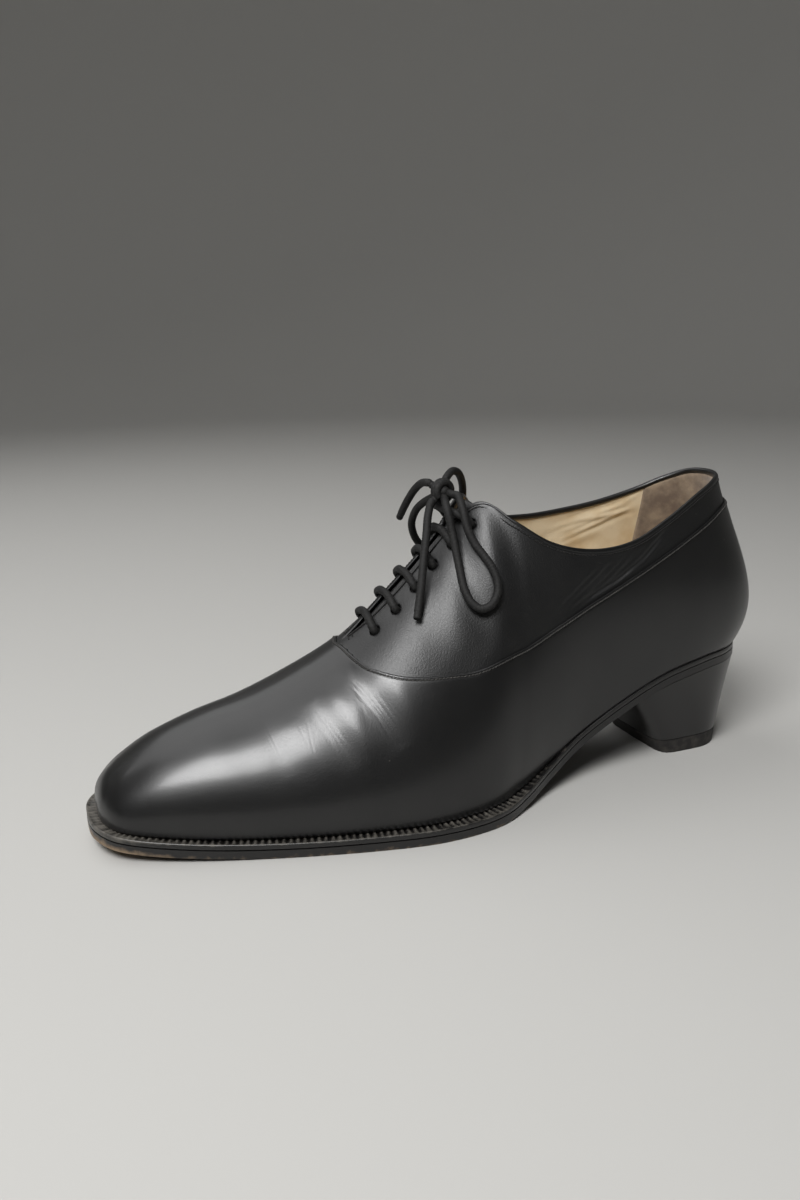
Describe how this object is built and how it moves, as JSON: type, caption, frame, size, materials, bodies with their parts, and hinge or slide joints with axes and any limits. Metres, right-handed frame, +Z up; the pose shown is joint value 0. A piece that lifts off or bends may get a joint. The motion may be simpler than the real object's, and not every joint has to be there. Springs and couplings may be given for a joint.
{
  "type": "closed-lacing heeled shoe",
  "caption": "Black leather lace-up dress shoe with a soft chisel toe, hollow lasted upper, welted leather sole, tapered block heel, tongue and a tied bow.",
  "frame": {"origin": "on the floor, under the centre of the shoe's box without the bow", "axes": "+X from heel to toe, +Y to the outer (lateral) side of the foot, +Z up"},
  "size_m": [0.2604, 0.0876, 0.1158],
  "materials": {
    "black_calf": "smooth polished black calf",
    "sole_leather": "black-dyed leather sole, worn brown at the edge",
    "welt_leather": "black-dyed welt, notched and waxed",
    "heel_stack": "black waxed heel block",
    "heel_rubber": "matt black rubber",
    "lining_leather": "natural tan lining leather",
    "lace_cotton": "braided waxed cotton"
  },
  "bodies": {
    "root": {"outsole": "sole_leather", "welt": "welt_leather", "insole": "lining_leather", "heel": "heel_stack", "top_piece": "heel_rubber", "upper": "black_calf", "tongue": "black_calf", "lace_crossing": "lace_cotton", "lace_bar_1": "lace_cotton", "lace_bar_2": "lace_cotton", "lace_bar_3": "lace_cotton", "lace_bar_4": "lace_cotton", "lace_bar_5": "lace_cotton", "lace_knot": "lace_cotton", "lace_loop_lateral": "lace_cotton", "lace_loop_medial": "lace_cotton", "lace_end_lateral": "lace_cotton", "lace_end_medial": "lace_cotton"}
  },
  "joints": []
}
